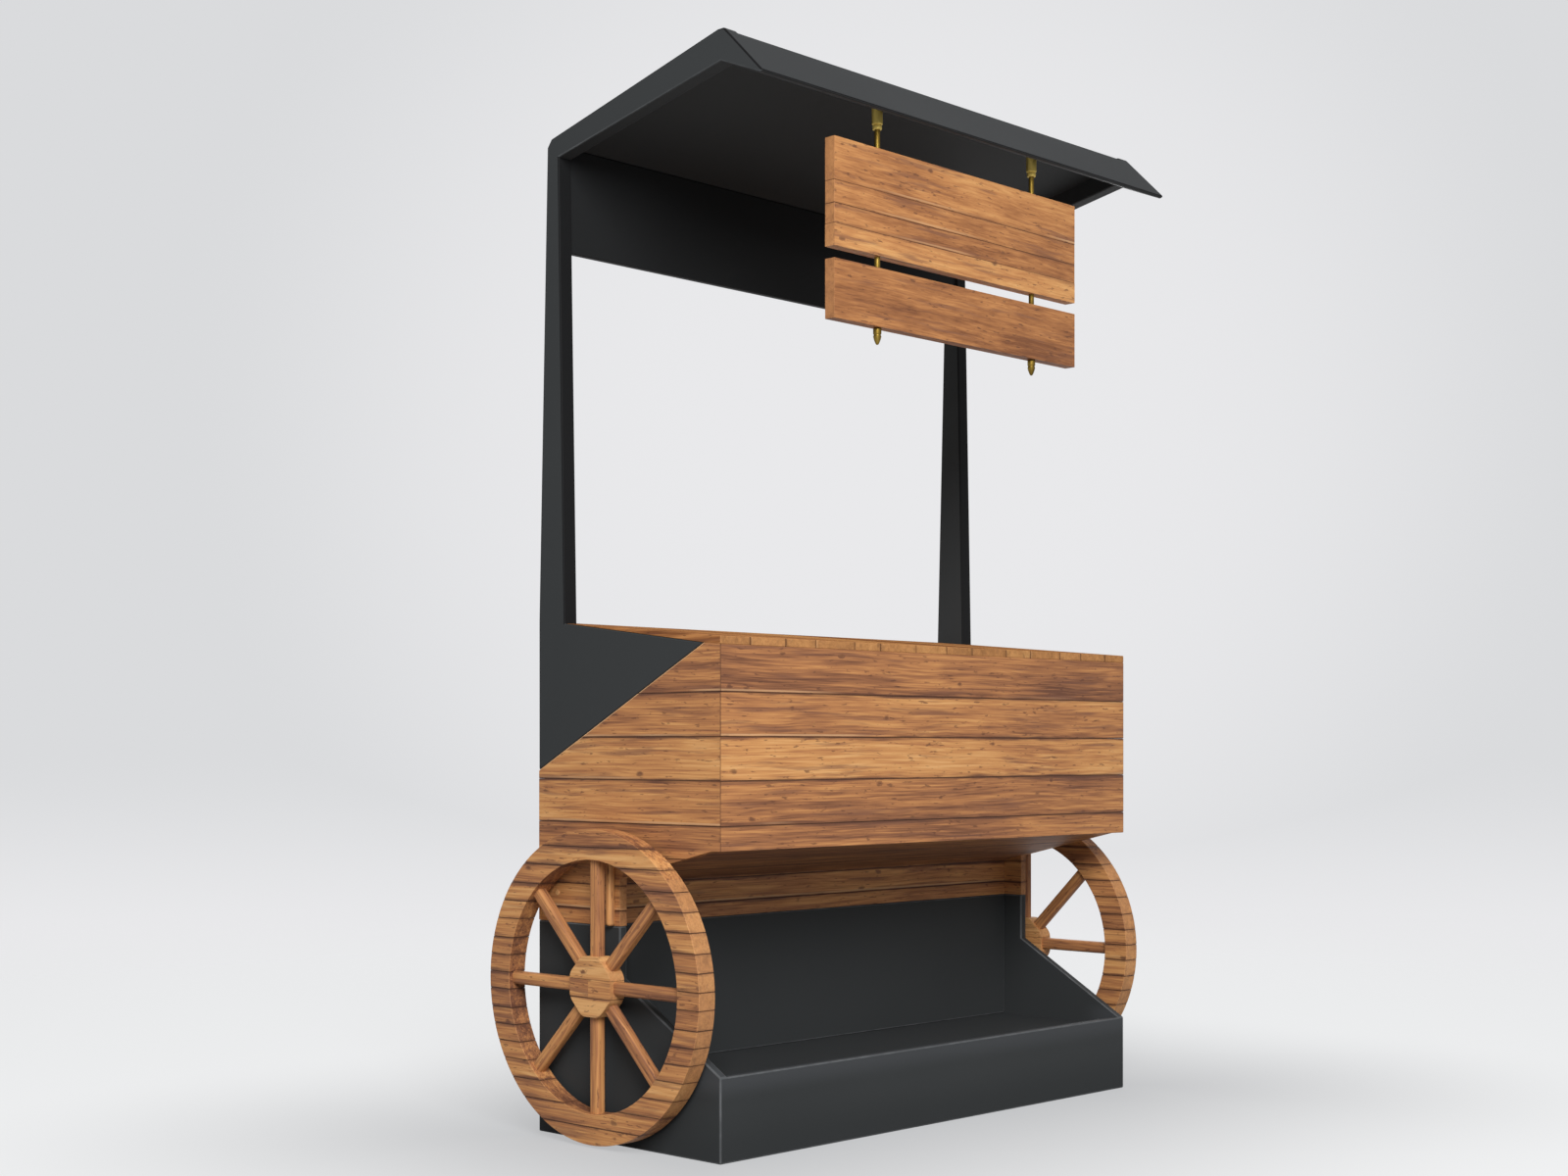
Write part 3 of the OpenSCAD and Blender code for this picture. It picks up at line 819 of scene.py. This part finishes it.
# %% [markdown]
# ## Cabinet
# The front and the sides share one list of seam heights and one list of tones, so a plank keeps its
# shade round the corner. Two rows at mid-height are dark, the one above them is the palest, and the
# topmost is the darkest. At the two front corners the boards meet in a mitre, which shows as one
# fine upright line, where a butt joint would show a board's end. The front board is made longer
# first, and then both boards are sawn at 45 degrees. The sloping top of each side panel has its
# outer corner planed, and the planed faces get a narrow pale painted highlight.

# %% Mitre and plank the front and the sides
SIDES = {"left": -1, "right": 1}
FRONT_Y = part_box("front_panel")[0][1]
SEAM_HEIGHTS = [0.442, 0.489, 0.545, 0.607, 0.689, 0.769, 0.850]
ROW_TONES = [0.70, 0.75, 0.66, 0.34, 0.17, 1.04, 0.49, -0.08]
SIDE_BELOW, SIDE_LEAST = SEAM_HEIGHTS[4], 0.54
SLOPE_EASE, SLOPE_STEPS = 0.0028, 2
LEANING = 0.1
# the mark for the slope's planed faces, which get a pale painted highlight
HIGHLIGHT_EDGE = 2


def row_tone(height):
    """The tone of the plank row at a height."""
    return ROW_TONES[sum(height > seam for seam in SEAM_HEIGHTS)]


def side_tone(height):
    """The same on the sides, where the two dark rows are a little paler."""
    return max(row_tone(height), SIDE_LEAST) if height < SIDE_BELOW else row_tone(height)


def mitre(piece, way, keep):
    """Saws a board at 45 degrees at the left (-1) or right (1) corner, for the front or a side."""
    edit(piece)
    facing = (way, 1, 0) if keep == "front" else (-way, -1, 0)
    corner = (way * SIDE_X, FRONT_Y, 0)
    bpy.ops.mesh.bisect(plane_co=corner, plane_no=facing, use_fill=True, clear_outer=True)
    done()


def on_slope(corner, way):
    """Whether an edge lies on a side panel's outside and along its slope."""
    slopes = [abs(face.normal.y) > LEANING and abs(face.normal.z) > LEANING
              for face in corner.link_faces]
    return any(slopes) and all(abs(end.co.x - way * SIDE_X) < WELD for end in corner.verts)


def plane_slope(piece, way):
    """Planes the outer corner of a side panel's slope."""
    edit(piece, "DESELECT")
    choose(piece, "edges", lambda corner: on_slope(corner, way))
    bpy.ops.mesh.bevel(offset=SLOPE_EASE, segments=SLOPE_STEPS, affect="EDGES")
    done()


front = copy_of("front_panel", "planked_front")
lengthen(front, SIDE_X)
for way in SIDES.values():
    mitre(front, way, "front")
front = plank_up(front, 2, SEAM_HEIGHTS, 0, row_tone, [(0, -SIDE_X), (0, SIDE_X)])
hand_over(front, "cart_wood", "front_panel")

for side, way in SIDES.items():
    panel = copy_of(side + "_side_panel", "planked_%s_side" % side)
    mitre(panel, way, "side")
    plane_slope(panel, way)
    panel = plank_up(panel, 2, SEAM_HEIGHTS, 1, side_tone, [(1, FRONT_Y)])
    # the planed faces on the slope get a pale painted highlight
    for face, mark in zip(panel.data.polygons, field(panel, "plank", "FACE")):
        if min(face.normal.y, face.normal.z, face.normal.x * way) > LEANING:
            mark.vector = (mark.vector[0], HIGHLIGHT_EDGE, mark.vector[2])
    hand_over(panel, "cart_wood", side + "_side_panel")

# %% [markdown]
# ## Rear and bay wall
# The rear panel closes the cabinet from behind, and the bay wall stands behind the display bay.
# Each could have planks of its own widths, but both are planked at the same heights as the front,
# so that the seams run on round the back corners too.

# %% Plank the rear and the bay wall
for node in ("rear_panel", "bay_back_wall"):
    panel = plank_up(copy_of(node, "planked_" + node), 2, SEAM_HEIGHTS, 0, row_tone)
    hand_over(panel, "cart_wood", node)

# %% [markdown]
# ## Soffit and countertop
# The sloping underside of the cabinet has its planks across the cart, with a dark tone that is
# painted shade. On the countertop they run from front to back, in uneven widths, so their ends
# show as short upright joints along the front edge. The same tool saws both, along another axis.

# %% Plank the soffit and the countertop
# the soffit's planks get a dark tone, as painted shade
SOFFIT_CUTS, SOFFIT_SHADE_TONE = [-0.135, -0.035], -0.15
COUNTER_CUTS = [-0.545, -0.452, -0.371, -0.262, -0.187, -0.081, 0.013, 0.094, 0.205, 0.287, 0.389,
                0.463, 0.551]
COUNTER_TONES = (-0.45, 1.05)

soffit = copy_of("soffit_board", "planked_soffit")
soffit = plank_up(soffit, 1, SOFFIT_CUTS, 0, lambda place: SOFFIT_SHADE_TONE)
hand_over(soffit, "cart_wood", "soffit_board")
counter = copy_of("countertop", "planked_countertop")
counter = plank_up(counter, 0, COUNTER_CUTS, 1, lambda place: seeds.uniform(*COUNTER_TONES))
hand_over(counter, "counter_wood", "countertop", slot="cart_wood")

# %% [markdown]
# ## Sign boards
# The hanging sign is two pale boards. The upper one is glued from four strips of different shades,
# with finer joints than the cabinet has, and the lower one is a single strip. Both boards keep the
# bores that the rods pass through, because they start from the CAD boards.

# %% Plank the sign
SIGN_EASE = 0.0007
SIGN_BOARDS = {"upper": ([1.727, 1.765, 1.808], [0.75, -0.25, 0.15, 0.40]), "lower": ([], [-0.20])}

for which, (joints, tones) in SIGN_BOARDS.items():
    board = copy_of("sign_%s_board" % which, "sign_" + which)
    board = plank_up(board, 2, joints, 0, lambda height: tones[sum(height > at for at in joints)],
                     width=SIGN_EASE)
    hand_over(board, "sign_wood", "sign_%s_board" % which)

# %% [markdown]
# ## Turned parts
# Rods, cups, finials, pegs and plugs are round, as if turned on a lathe. Spinning a drawn profile
# would make them too, but it leaves a pole to close at each end. Here a disc is drawn at the first
# radius, and then extruded and scaled once for each step of the profile. That is how it is done by
# hand, and it leaves a closed shape with an even ring of faces.

# %% A lathe
TURNED_SIDES = 32


def turned(name, x, y, rings):
    """A round upright piece from (height, radius) rings, lowest first."""
    height, radius = rings[0]
    bpy.ops.object.select_all(action="DESELECT")
    bpy.ops.mesh.primitive_circle_add(vertices=TURNED_SIDES, radius=radius, fill_type="NGON",
                                      location=(x, y, height))
    piece = bpy.context.object
    piece.name = name
    bpy.ops.object.transform_apply(location=True)
    edit(piece)
    for next_height, next_radius in rings[1:]:
        step = {"value": (0, 0, next_height - height)}
        bpy.ops.mesh.extrude_region_move(TRANSFORM_OT_translate=step)
        grow = next_radius / radius
        bpy.ops.transform.resize(value=(grow, grow, 1), center_override=(x, y, next_height))
        height, radius = next_height, next_radius
    bpy.ops.mesh.select_all(action="SELECT")
    bpy.ops.mesh.normals_make_consistent(inside=False)
    done()
    field(piece, "plank", "FACE")  # zeros, for the finish to read
    return piece


print("turned parts have", TURNED_SIDES, "sides")

# %% [markdown]
# ## Brass hangers
# The sign hangs on two brass rods. Each goes up into a cup under the roof and ends in a finial
# under the lower board. A rod is plain, with its ends chamfered. A cup has a collar and a flange,
# and a finial is an acorn below a ring. Their profiles could be curves, but a list of steps is
# enough at this size, with each radius as a share of the CAD part's.

# %% Turn the brass hangers
ROD_CHAMFER, ROD_TIP = 0.0015, 0.7
CUP_PROFILE = [(0, 0.62), (0.0010, 0.80), (0.0030, 0.88), (0.0075, 0.88), (0.0085, 0.80),
               (0.0098, 0.80), (0.0108, 0.96), (0.0120, 1.0)]
FINIAL_PROFILE = [(0, 0.22), (0.04, 0.36), (0.14, 0.56), (0.28, 0.78), (0.42, 0.93), (0.50, 0.98),
                  (0.56, 0.86), (0.60, 0.86), (0.66, 1.0), (0.90, 1.0), (0.96, 0.94), (1.0, 0.80)]
CUP_PAINTED_LIGHT = 1

for side in SIDES:
    low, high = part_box(side + "_sign_rod")
    x, y = (low[0] + high[0]) / 2, (low[1] + high[1]) / 2
    radius = (high[0] - low[0]) / 2
    rings = [(low[2], radius * ROD_TIP), (low[2] + ROD_CHAMFER, radius),
             (high[2] - ROD_CHAMFER, radius), (high[2], radius * ROD_TIP)]
    hand_over(turned(side + "_rod", x, y, rings), "brass", side + "_sign_rod")

    low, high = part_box(side + "_rod_cup")
    radius = (high[0] - low[0]) / 2
    rings = [(low[2] + rise, radius * part) for rise, part in CUP_PROFILE] + [(high[2], radius)]
    cup = turned(side + "_cup", x, y, rings)
    # the cups get painted light
    for mark in field(cup, "plank", "FACE"):
        mark.vector = (CUP_PAINTED_LIGHT, 0, 0)
    hand_over(cup, "brass", side + "_rod_cup")

    low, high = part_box(side + "_rod_finial")
    radius, tall = (high[0] - low[0]) / 2, high[2] - low[2]
    rings = [(low[2] + tall * rise, radius * part) for rise, part in FINIAL_PROFILE]
    hand_over(turned(side + "_finial", x, y, rings), "brass", side + "_rod_finial")

# %% [markdown]
# ## Wheel rims
# Each wheel is sawn from a block of horizontal planks, so the rim is a ring crossed by level seams.
# A torus would have the wrong section, so it starts as a cylinder whose round ends are inset and
# bridged into a ring. The planking tool then saws it into bands at the seam heights, and rounds
# every band's edges before they are joined again. The inside of the ring is given a darker tone,
# as painted shade.

# %% Make the rims
RIM_SIDES = 120
RIM_SEAMS = [-0.262, -0.225, -0.190, -0.155, -0.122, -0.090, -0.058, -0.022,
             0.011, 0.045, 0.079, 0.116, 0.152, 0.187, 0.225, 0.262]
RIM_EASE = 0.0012
RIM_TONES = (0.25, 1.15)
# how much darker the inside of the ring is, as painted shade
INSIDE_PAINTED_SHADE, ROUND_FACING = 0.6, 0.5


def open_drum(name, node, hole):
    """A drum in a wheel's place, with its axis along X, and bored through to a hole's radius."""
    low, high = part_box(node)
    radius = (high[2] - low[2]) / 2
    bpy.ops.object.select_all(action="DESELECT")
    bpy.ops.mesh.primitive_cylinder_add(vertices=RIM_SIDES, radius=radius, depth=high[0] - low[0],
                                        location=(low + high) / 2, rotation=(0, math.pi / 2, 0))
    drum = bpy.context.object
    drum.name = name
    bpy.ops.object.transform_apply(location=True, rotation=True)
    edit(drum, "DESELECT")
    choose(drum, "faces", lambda face: abs(face.normal.x) > FACING)
    bpy.ops.mesh.inset(thickness=radius - hole, use_individual=True)
    bpy.ops.mesh.bridge_edge_loops()
    done()
    return drum


for side in SIDES:
    node = side + "_wheel_rim"
    low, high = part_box(node)
    middle_y, middle_z = (low[1] + high[1]) / 2, (low[2] + high[2]) / 2
    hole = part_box(side + "_wheel_spokes")[1][2] - middle_z
    seams = [middle_z + seam for seam in RIM_SEAMS]
    rim = plank_up(open_drum(side + "_rim", node, hole), 2, seams, 1,
                   lambda place: seeds.uniform(*RIM_TONES), width=RIM_EASE)
    # painted shade: the inside of the ring gets a darker tone
    for face, mark in zip(rim.data.polygons, field(rim, "plank", "FACE")):
        out = math.hypot(face.center.y - middle_y, face.center.z - middle_z)
        if out < hole + RIM_EASE and abs(face.normal.x) < ROUND_FACING:
            mark.vector = (mark.vector[0] - INSIDE_PAINTED_SHADE, mark.vector[1], 0)
    hand_over(rim, "wheel_wood", node)

# %% [markdown]
# ## Spokes
# A spoke is a square bar with its four long edges rounded. One bar is made upright over the hub.
# Each spoke is a copy of it with its own mesh, which is given its grain while it stands upright and
# is then turned about the wheel's axis, and so it carries its grain round with it. An array round
# the axis would be quicker, but all spokes would share one grain.

# %% Make the spokes
SPOKE_COUNT = 8
SPOKE_WIDTH, SPOKE_THICK = 0.025, 0.022
SPOKE_ROUND, SPOKE_STEPS = 0.007, 6
SPOKE_BITE = 0.0004
SPOKE_TONES = (0.25, 0.72)


def upright(corner):
    """Whether an edge of the bar is one of its four long ones."""
    return abs(corner.verts[0].co.z - corner.verts[1].co.z) > SPOKE_WIDTH


for side in SIDES:
    low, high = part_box(side + "_wheel_spokes")
    hub_low, hub_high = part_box(side + "_wheel_hub")
    centre = (low + high) / 2
    start = (hub_high[2] - hub_low[2]) / 2
    reach = high[2] - centre[2] + SPOKE_BITE
    middle = (centre[0], centre[1], centre[2] + (start + reach) / 2)
    bpy.ops.object.select_all(action="DESELECT")
    bpy.ops.mesh.primitive_cube_add(size=1, location=middle,
                                    scale=(SPOKE_THICK, SPOKE_WIDTH, reach - start))
    bar = bpy.context.object
    bpy.ops.object.transform_apply(location=True, scale=True)
    edit(bar, "DESELECT")
    choose(bar, "edges", upright)
    bpy.ops.mesh.bevel(offset=SPOKE_ROUND, segments=SPOKE_STEPS, affect="EDGES")
    done()
    spokes = []
    for number in range(SPOKE_COUNT):
        spoke = own_copy(bar, side + "_spoke")
        run_grain(spoke, 2, seeds.uniform(*SPOKE_TONES))
        edit(spoke)
        turn = 2 * math.pi * number / SPOKE_COUNT
        bpy.ops.transform.rotate(value=turn, orient_axis="X", center_override=centre)
        done()
        spokes.append(spoke)
    bpy.data.objects.remove(bar)
    hand_over(glue(spokes, side + "_spokes"), "wheel_wood", side + "_wheel_spokes")

# %% [markdown]
# ## Hubs and axles
# The hub has eight flats, one for each spoke, and its eight corners are rounded off. It shows three
# bands of wood, and the middle band is in two blocks that meet over the axle. The corners are
# beveled first and the bands are sawn afterwards, so that the bands share one outline. The axle is
# a short stub between the hub and the base.

# %% Make the hubs and the axles
HUB_CORNER, HUB_STEPS = 0.009, 4
HUB_CORE = 0.03
HUB_SEAMS, HUB_SPLIT = (-0.020, 0.014), 0.004
HUB_TONES = (1.45, 0.60, 0.95, 1.50)
HUB_EASE, AXLE_EASE = 0.0022, 0.001
AXLE_TONE = 0.5


def hub_corner(corner, centre):
    """Whether an edge is one of the eight outer ones that lie along the axle."""
    along = abs(corner.verts[0].co.x - corner.verts[1].co.x) > HUB_CORNER
    far = [math.hypot(end.co.y - centre[1], end.co.z - centre[2]) > HUB_CORE
           for end in corner.verts]
    return along and all(far)


for side in SIDES:
    node = side + "_wheel_hub"
    low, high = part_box(node)
    centre = (low + high) / 2
    seams = [centre[2] + seam for seam in HUB_SEAMS]
    split = centre[1] + HUB_SPLIT
    whole = copy_of(node, side + "_hub")
    edit(whole, "DESELECT")
    choose(whole, "edges", lambda corner: hub_corner(corner, centre))
    bpy.ops.mesh.bevel(offset=HUB_CORNER, segments=HUB_STEPS, affect="EDGES")
    done()
    limits = ((None, seams[0], None, None), (seams[0], seams[1], split, None),
              (seams[0], seams[1], None, split), (seams[1], None, None, None))
    blocks = []
    for (bottom, top, fore, aft), tone in zip(limits, HUB_TONES):
        block = own_copy(whole, side + "_block")
        saw(block, 2, bottom, top)
        saw(block, 1, fore, aft)
        ease(block, HUB_EASE, [(2, seam) for seam in seams])
        run_grain(block, 1, tone)
        blocks.append(block)
    bpy.data.objects.remove(whole)
    hand_over(glue(blocks, side + "_hub"), "wheel_wood", node)

    axle = copy_of(side + "_wheel_axle", side + "_axle")
    ease(axle, AXLE_EASE)
    run_grain(axle, 0, AXLE_TONE)
    hand_over(axle, "wheel_wood", side + "_wheel_axle")

# %% [markdown]
# ## Side pegs
# Behind each wheel a short round peg stands on the side panel. It is turned with a domed lower end,
# and its back is sawn flat where it lies on the panel. A half-round bar would do as well, but the
# lathe and the saw are there already.

# %% Turn the pegs
PEG_DOME = [(0, 0.45), (0.0008, 0.66), (0.002, 0.84), (0.004, 0.96), (0.0065, 1.0)]
PEG_TONE = 0.9

for side, way in SIDES.items():
    node = side + "_side_peg"
    low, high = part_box(node)
    radius = (high[1] - low[1]) / 2
    outer, inner = (low[0], high[0]) if way < 0 else (high[0], low[0])
    rings = [(low[2] + rise, radius * part) for rise, part in PEG_DOME] + [(high[2], radius)]
    peg = turned(side + "_peg", outer - way * radius, (low[1] + high[1]) / 2, rings)
    saw(peg, 0, inner if way > 0 else None, inner if way < 0 else None, slit=0)
    run_grain(peg, 2, PEG_TONE)
    hand_over(peg, "wheel_wood", node)

# %% [markdown]
# ## Plugs
# A small light plug closes a screw hole near the back edge of each side panel. A painted dot would
# have no rim to catch the light, so it is turned like the pegs, with a slightly domed face, and
# then laid on its side.

# %% Turn the plugs
PLUG_AT = (0.1965, 0.4690)
PLUG_RINGS = [(-0.003, 0.0058), (0.0008, 0.0058), (0.0014, 0.0050), (0.0017, 0.0028)]
PLUG_TONE = 3.0

for side, way in SIDES.items():
    plug = turned(side + "_plug", 0, 0, PLUG_RINGS)
    edit(plug)
    turn = -way * math.pi / 2
    bpy.ops.transform.rotate(value=turn, orient_axis="Y", center_override=(0, 0, 0))
    bpy.ops.transform.translate(value=(way * SIDE_X, *PLUG_AT))
    done()
    run_grain(plug, 1, PLUG_TONE)
    hand_over(plug, "wheel_wood")

# %% Print the frame's box
print("cad box", cad_box)
